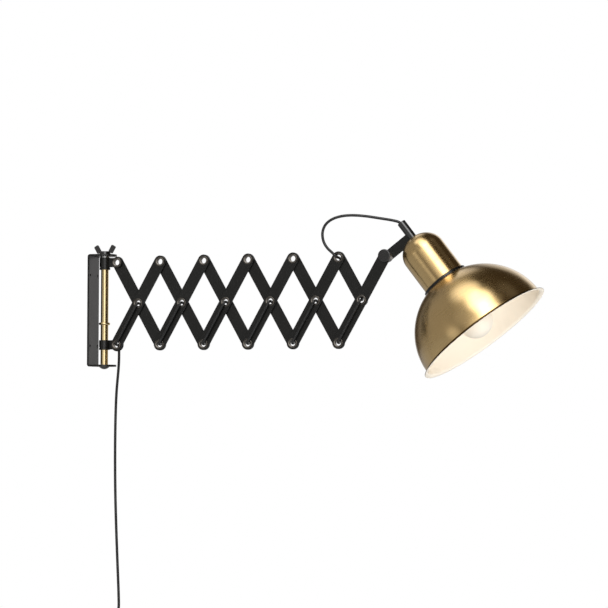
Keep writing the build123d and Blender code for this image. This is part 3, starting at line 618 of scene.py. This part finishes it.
spun_lines, spun_in, spun_out = make_group(
    "spun_lines",
    [
        ("Lines", "NodeSocketVector", None),
        ("Clouds", "NodeSocketVector", None),
        ("Light Colour", "NodeSocketColor", (0.9, 0.7, 0.4, 1)),
        ("Dark Colour", "NodeSocketColor", (0.5, 0.35, 0.15, 1)),
        ("Roughness", "NodeSocketFloat", 0.3),
        ("Tarnish", "NodeSocketFloat", 0.5),
    ],
    [("Colour", "NodeSocketColor"), ("Roughness", "NodeSocketFloat"), ("Height", "NodeSocketFloat")],
)
line_share = 1.1
stain_share = 1.6
stain_size = 0.035
tarnish_floor = 0.6
rough_share = 0.16
fine_lines = noise(spun_lines, spun_in.outputs["Lines"], 1.0, 4.0)
stain = noise(spun_lines, spun_in.outputs["Clouds"], stain_size, 5.0)
line_offset = group_math(spun_lines, "SUBTRACT", fine_lines, 0.5)
stain_offset = group_math(spun_lines, "SUBTRACT", stain, 0.5)
line_part = group_math(spun_lines, "MULTIPLY", line_offset, line_share)
stain_part = group_math(spun_lines, "MULTIPLY", stain_offset, stain_share)
both_parts = group_math(spun_lines, "ADD", line_part, stain_part)
darkness = add_node(spun_lines, "ShaderNodeMath", operation="MULTIPLY_ADD", use_clamp=True)
spun_lines.links.new(both_parts, darkness.inputs[0])
spun_lines.links.new(spun_in.outputs["Tarnish"], darkness.inputs[1])
least_dark = group_math(spun_lines, "MULTIPLY", spun_in.outputs["Tarnish"], tarnish_floor)
spun_lines.links.new(least_dark, darkness.inputs[2])
spun_mix = add_node(spun_lines, "ShaderNodeMix", data_type="RGBA")
spun_lines.links.new(darkness.outputs[0], spun_mix.inputs[0])
spun_lines.links.new(spun_in.outputs["Light Colour"], spun_mix.inputs[6])
spun_lines.links.new(spun_in.outputs["Dark Colour"], spun_mix.inputs[7])
spun_rough = group_math(spun_lines, "MULTIPLY_ADD", both_parts, rough_share, spun_in.outputs["Roughness"])
spun_lines.links.new(spun_mix.outputs[2], spun_out.inputs["Colour"])
spun_lines.links.new(spun_rough, spun_out.inputs["Roughness"])
spun_lines.links.new(fine_lines, spun_out.inputs["Height"])


def brushed(name, light, dark, roughness, tarnish, anisotropy, line_stretch, bump, lacquer):
    """Metal brushed round its axis: lines follow the first UV direction, stains the object."""
    material, tree, shader = new_material(name, light, roughness, 1.0, anisotropic=anisotropy)
    lines = add_node(tree, "ShaderNodeGroup", node_tree=spun_lines)
    turned_map = add_node(tree, "ShaderNodeUVMap", uv_map="UVMap")
    stretch = add_node(tree, "ShaderNodeMapping")
    stretch.inputs["Scale"].default_value = line_stretch
    tree.links.new(turned_map.outputs[0], stretch.inputs["Vector"])
    tree.links.new(stretch.outputs[0], lines.inputs["Lines"])
    tree.links.new(add_node(tree, "ShaderNodeTexCoord").outputs["Object"], lines.inputs["Clouds"])
    lines.inputs["Light Colour"].default_value = (*light, 1)
    lines.inputs["Dark Colour"].default_value = (*dark, 1)
    lines.inputs["Roughness"].default_value = roughness
    lines.inputs["Tarnish"].default_value = tarnish
    tree.links.new(lines.outputs["Colour"], shader.inputs["Base Color"])
    tree.links.new(lines.outputs["Roughness"], shader.inputs["Roughness"])
    surface = add_node(tree, "ShaderNodeBump", distance=0.0001)
    surface.inputs["Strength"].default_value = bump
    tree.links.new(lines.outputs["Height"], surface.inputs["Height"])
    tree.links.new(surface.outputs[0], shader.inputs["Normal"])
    shader.inputs["Anisotropic Rotation"].default_value = 0.25
    shader.inputs["Coat Weight"].default_value = lacquer
    shader.inputs["Coat Roughness"].default_value = 0.15
    tangent = add_node(tree, "ShaderNodeTangent", direction_type="UV_MAP", uv_map="UVMap")
    tree.links.new(tangent.outputs[0], shader.inputs["Tangent"])
    return material


def turned(name, outline, origin, along, across, sides=96, closed=True, cells=None):
    """Turned part: each (radius, height) of the outline goes once round the axis."""
    outline = np.asarray(outline, float)
    along = np.asarray(along, float)
    across = np.asarray(across, float)
    angle = np.linspace(0, 2 * pi, sides, endpoint=False)
    ring = np.cos(angle)[:, None] * across + np.sin(angle)[:, None] * np.cross(along, across)
    points = np.asarray(origin) + outline[:, None, 1:2] * along + outline[:, None, 0:1] * ring[None]
    flat = np.column_stack([outline, np.zeros(len(outline))])
    mesh = grid_mesh(name, points, flat, wrap_rows=closed, cell_of_row=cells)
    close_ends(mesh)
    return mesh


def arc(centre, radii, start, end, count):
    """Points of an ellipse arc, angles in degrees."""
    angle = np.radians(np.linspace(start, end, count))
    return np.column_stack([centre[0] + radii[0] * np.cos(angle), centre[1] + radii[1] * np.sin(angle)])


def keep_creases(mesh, degrees_apart):
    """Smooth shading, broken where faces meet at more than the angle."""
    mesh.shade_smooth()
    mesh.set_sharp_from_angle(angle=radians(degrees_apart))


tube_light, tube_dark = (0.90, 0.72, 0.40), (0.55, 0.40, 0.19)
tube_brass = brushed("tube_brass", tube_light, tube_dark, 0.20, 0.22, 0.6, (2.0, 160.0, 1.0), 0.0, 0.0)
post_low, post_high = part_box("post_tube")
post_radius = (post_high.x - post_low.x) / 2
post_bore = 0.00305
post_edge = 0.0003
seat_gap = 0.00005
post_centre = ((post_low.x + post_high.x) / 2, 0, 0)
post_outline = [
    (post_bore, post_low.z),
    (post_radius - post_edge, post_low.z),
    (post_radius, post_low.z + post_edge),
    (post_radius, post_high.z - post_edge),
    (post_radius - post_edge, post_high.z),
    (post_bore, post_high.z),
]
mesh = turned("brass_post", post_outline, post_centre, (0, 0, 1), (1, 0, 0), 72)
keep_creases(mesh, 30)
new_piece("brass_post", mesh, [tube_brass], "wall_frame", ["post_tube"])

ring_low, ring_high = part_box("stop_ring")
ring_radius = (ring_high.x - ring_low.x) / 2
ring_bead = (ring_high.z - ring_low.z) / 2
ring_middle = (ring_high.z + ring_low.z) / 2
ring_outline = np.vstack(
    [
        [(post_radius + seat_gap, ring_low.z)],
        arc((ring_radius - ring_bead, ring_middle), (ring_bead, ring_bead), -90, 90, 14),
        [(post_radius + seat_gap, ring_high.z)],
    ]
)
mesh = turned("brass_stop", ring_outline, post_centre, (0, 0, 1), (1, 0, 0), 72)
keep_creases(mesh, 40)
new_piece("brass_stop", mesh, [tube_brass], "wall_frame", ["stop_ring"])

# ---- hollow rivets ---------------------------------------------------------------------
# Rolled eyelets, nickel plated, with a thin washer between the two layers of bars. The cord
# passes through their bores.

nickel = dress("nickel_plate", (0.18, 0.165, 0.145), 0.20, 1.0, 0.012, 0.0007, 0.25, 0.14, 0.10)
rivet_bore = 0.0045
rivet_barrel = 0.0055
rivet_flange = 0.0075
rivet_crown = 0.0009
stack_half = 0.0030
layer_half = 0.0005
rim_peak = 0.0069
lip_start = 0.0001
eyelet_outline = np.vstack(
    [
        [(rivet_barrel, -stack_half)],
        [(rivet_flange, -stack_half)],
        arc((rim_peak, -stack_half), (rivet_flange - rim_peak, rivet_crown), 0, -90, 6)[1:],
        arc((rim_peak, -stack_half), (rim_peak - rivet_bore, rivet_crown), -90, -172, 12)[1:],
        [(rivet_bore, -stack_half + lip_start)],
        [(rivet_bore, stack_half - lip_start)],
        arc((rim_peak, stack_half), (rim_peak - rivet_bore, rivet_crown), 172, 90, 12)[:-1],
        arc((rim_peak, stack_half), (rivet_flange - rim_peak, rivet_crown), 90, 0, 6)[:-1],
        [(rivet_flange, stack_half)],
        [(rivet_barrel, stack_half)],
    ]
)
washer_outline = [
    (rivet_barrel + seat_gap, -layer_half),
    (rivet_flange, -layer_half),
    (rivet_flange, layer_half),
    (rivet_barrel + seat_gap, layer_half),
]


def joined(name, meshes):
    """One mesh out of several."""
    work = bmesh.new()
    for part in meshes:
        work.from_mesh(part)
        bpy.data.meshes.remove(part)
    mesh = bpy.data.meshes.new(name)
    work.to_mesh(mesh)
    work.free()
    return mesh


def rivet_group(name, places, body, node):
    """The rivets and washers that one piece of the arm carries."""
    meshes = []
    for place in places:
        meshes.append(turned("eyelet", eyelet_outline, place, (0, 1, 0), (1, 0, 0), 48))
        meshes.append(turned("washer", washer_outline, place, (0, 1, 0), (1, 0, 0), 48))
    mesh = joined(name, meshes)
    keep_creases(mesh, 50)
    new_piece(name, mesh, [nickel], body, [node])


rivet_group("eyelet_collar", [top_pivots[0]], "arm_swivel", "rivet_collar")
for k in range(1, cell_count + 1):
    places = [bottom_pivots[k - 1], middle_pivots[k - 1]]
    if k < cell_count:
        places.append(top_pivots[k])
    rivet_group(f"eyelets_{k}", places, f"rising_bar_{k}", f"rivets_{k}")

for node in ("knuckle_spacer", "knuckle_nut"):
    paint(node, nickel)

# ---- stem ------------------------------------------------------------------------------
# Gloss black steel tube brazed to the strap's end. The cord goes in at its open mouth,
# through a soft bush, and a threaded nipple below joins it to the lamp holder.

stem_radius = 0.0066
stem_bore = 0.0055
stem_foot = -0.0016
stem_edge = 0.0004
stem_outline = np.vstack(
    [
        [(stem_bore, stem_foot)],
        [(stem_radius, stem_foot)],
        arc((stem_radius - stem_edge, stem_top - stem_edge), (stem_edge, stem_edge), 0, 90, 5),
        arc((stem_bore + stem_edge, stem_top - stem_edge), (stem_edge, stem_edge), 90, 180, 5),
    ]
)
mesh = turned("stem", stem_outline, head_origin, stem_up, outward, 72)
keep_creases(mesh, 40)
new_piece("stem", mesh, [gloss_black], "head", ["stem_tube"])
bush_black = dress("bush_black", (0.018, 0.018, 0.018), 0.55, 0, 0.01, 0.0006, 0.3, 0.1, 0.2)
paint("stem_bush", bush_black)
zinc = dress("zinc_plate", (0.62, 0.63, 0.62), 0.32, 1.0, 0.01, 0.0006, 0.3, 0.12, 0.12)
for node in ("stem_nipple", "neck_nut", "bracket_washer"):
    paint(node, zinc)

# ---- neck cap --------------------------------------------------------------------------
# Spun brass cup that covers the lamp holder: a domed top, a straight side and a cut edge.

shade_light, shade_dark = (0.90, 0.64, 0.29), (0.45, 0.27, 0.09)
shade_brass = brushed("shade_brass", shade_light, shade_dark, 0.25, 0.32, 0.65, (4.0, 500.0, 1.0), 0.04, 0.7)
neck_radius = 0.0340
neck_height = 0.0301
neck_top = 0.0012
neck_bottom = 0.0836
neck_wall = 0.0012
neck_bead = 0.0006
neck_hole_outer = 80.5
neck_hole_inner = 80.2
neck_base = -neck_top - neck_height
neck_outline = np.vstack(
    [
        arc((0, neck_base), (neck_radius, neck_height), neck_hole_outer, 0, 40),
        arc((neck_radius, -neck_bottom + neck_bead), (neck_bead, neck_bead), 90, -90, 8),
        [(neck_radius - neck_wall, -neck_bottom)],
        arc((0, neck_base), (neck_radius - neck_wall, neck_height - neck_wall), 0, neck_hole_inner, 30),
    ]
)
mesh = turned("neck_cup", neck_outline, head_origin, stem_up, outward, 160)
keep_creases(mesh, 40)
new_piece("neck_cup", mesh, [shade_brass], "head", ["neck_cap"])

# ---- shade -----------------------------------------------------------------------------
# Spun brass dome with a rolled lip, brushed and lacquered outside, with painted shade in the
# crease of the lip, and cream enamel inside.

shade_radius = 0.1037
shade_height = 0.1009
shade_base = 0.18178
shade_wall = 0.0010
shade_hole = 0.0200
lip_radius = 0.1095
lip_turn = 0.0030
hole_outer = np.degrees(np.arccos(shade_hole / shade_radius))
hole_inner = np.degrees(np.arccos(shade_hole / (shade_radius - shade_wall)))
lip_centre = (shade_radius + lip_turn, -shade_base)
skin = arc((0, -shade_base), (shade_radius, shade_height), hole_outer, 0, 90)
flare = arc(lip_centre, (lip_turn, lip_turn), 180, 270, 10)[1:]
edge_half = shade_wall / 2
edge = arc((lip_radius, -shade_base - lip_turn - edge_half), (edge_half, edge_half), 90, -90, 8)
under = arc(lip_centre, (lip_turn + shade_wall, lip_turn + shade_wall), 270, 180, 10)
lining = arc((0, -shade_base), (shade_radius - shade_wall, shade_height - shade_wall), 0, hole_inner, 80)[1:]
shade_outline = np.vstack([skin, flare, edge, under, lining])
brass_cell, cream_cell, painted_shade_cell = 0, 1, 2
painted_from = len(skin) + len(flare) + 6
shade_cells = np.full(len(shade_outline), brass_cell)
shade_cells[len(skin) - 1 : painted_from] = painted_shade_cell
shade_cells[painted_from:] = cream_cell
# Very dark brass on the flare and the upper half of the lip's edge: painted shade in the crease.
painted_shade_brass = dress("painted_shade_brass", (0.10, 0.06, 0.02), 0.34, 1.0, 0.02, 0.0008, 0.3, 0.1, 0.05)
enamel_cream = dress("enamel_cream", (0.98, 0.895, 0.765), 0.50, 0, 0.05, 0.0014, 0.04, 0.08, 0.06)
mesh = turned("dome", shade_outline, head_origin, stem_up, outward, 224, cells=shade_cells)
keep_creases(mesh, 50)
new_piece("dome", mesh, [shade_brass, enamel_cream, painted_shade_brass], "head", ["shade"])

# ---- neck ring -------------------------------------------------------------------------
# Thin black ring that seats the neck cap on the dome and stands out a little round it.

ring_outer = 0.0368
ring_inner = 0.0313
ring_lip = 0.0005
ring_seat_gap = 0.00025
ring_cover = 0.0001


def skin_depth(radius):
    """Depth of the dome's skin below the head's origin at a radius."""
    return shade_base - shade_height * sqrt(1 - (radius / shade_radius) ** 2) - ring_seat_gap


ring_upper = neck_bottom + ring_cover
ring_outline = np.vstack(
    [
        [(ring_inner, -ring_upper)],
        arc((ring_outer - ring_lip, -ring_upper - ring_lip), (ring_lip, ring_lip), 90, 0, 5),
        [(ring_outer, -skin_depth(ring_outer))],
        [(ring_inner, -skin_depth(ring_inner))],
    ]
)
mesh = turned("seat_ring", ring_outline, head_origin, stem_up, outward, 128)
keep_creases(mesh, 40)
new_piece("seat_ring", mesh, [enamel_black], "head", ["neck_ring"])

# ---- lamp holder and bulb --------------------------------------------------------------
# Cream moulded lamp holder with its screwed ring, and a small opal globe bulb.

moulded_cream = dress("moulded_cream", (0.86, 0.82, 0.72), 0.4, 0, 0.02, 0.0008, 0.06, 0.1, 0.08)
for node in ("lamp_holder", "holder_ring"):
    paint(node, moulded_cream)
cap_metal = dress("cap_metal", (0.78, 0.78, 0.77), 0.28, 1.0, 0.01, 0.0006, 0.2, 0.1, 0.08)
paint("bulb_cap", cap_metal)

globe_radius = 0.0264
globe_depth = 0.1617
throat_radius = 0.0128
throat_depth = 0.1180
globe_end = 40
globe_lead = 0.012
throat_ease = 0.010
globe_arc = arc((0, -globe_depth), (globe_radius, globe_radius), -90, globe_end, 40)
throat_run = np.linspace(0, 1, 14)[1:, None]
throat_from = globe_arc[-1]
globe_tangent = np.array([-sin(radians(globe_end)), cos(radians(globe_end))])
throat_guide = throat_from + globe_tangent * globe_lead
throat_to = np.array([throat_radius, -throat_depth])
throat_lead = throat_to - np.array([0, throat_ease])
throat = (
    (1 - throat_run) ** 3 * throat_from
    + 3 * (1 - throat_run) ** 2 * throat_run * throat_guide
    + 3 * (1 - throat_run) * throat_run**2 * throat_lead
    + throat_run**3 * throat_to
)
bulb_outline = np.vstack([globe_arc, throat, [(0, -throat_depth)]])
opal = dress("opal_glass", (0.96, 0.88, 0.75), 0.30, 0, 0.03, 0.002, 0.02, 0.03, 0.0)
mesh = turned("globe", bulb_outline, head_origin, stem_up, outward, 96, closed=False)
keep_creases(mesh, 50)
new_piece("globe", mesh, [opal], "head", ["bulb_glass"])

# ---- plug ------------------------------------------------------------------------------
# Moulded two-pin plug at the end of the flex.

plug_black = dress("plug_black", (0.02, 0.02, 0.021), 0.5, 0, 0.02, 0.0007, 0.3, 0.1, 0.3)
pin_metal = dress("pin_metal", (0.80, 0.77, 0.66), 0.24, 1.0, 0.01, 0.0005, 0.2, 0.1, 0.08)
paint("plug_body", plug_black)
paint("plug_pins", pin_metal)
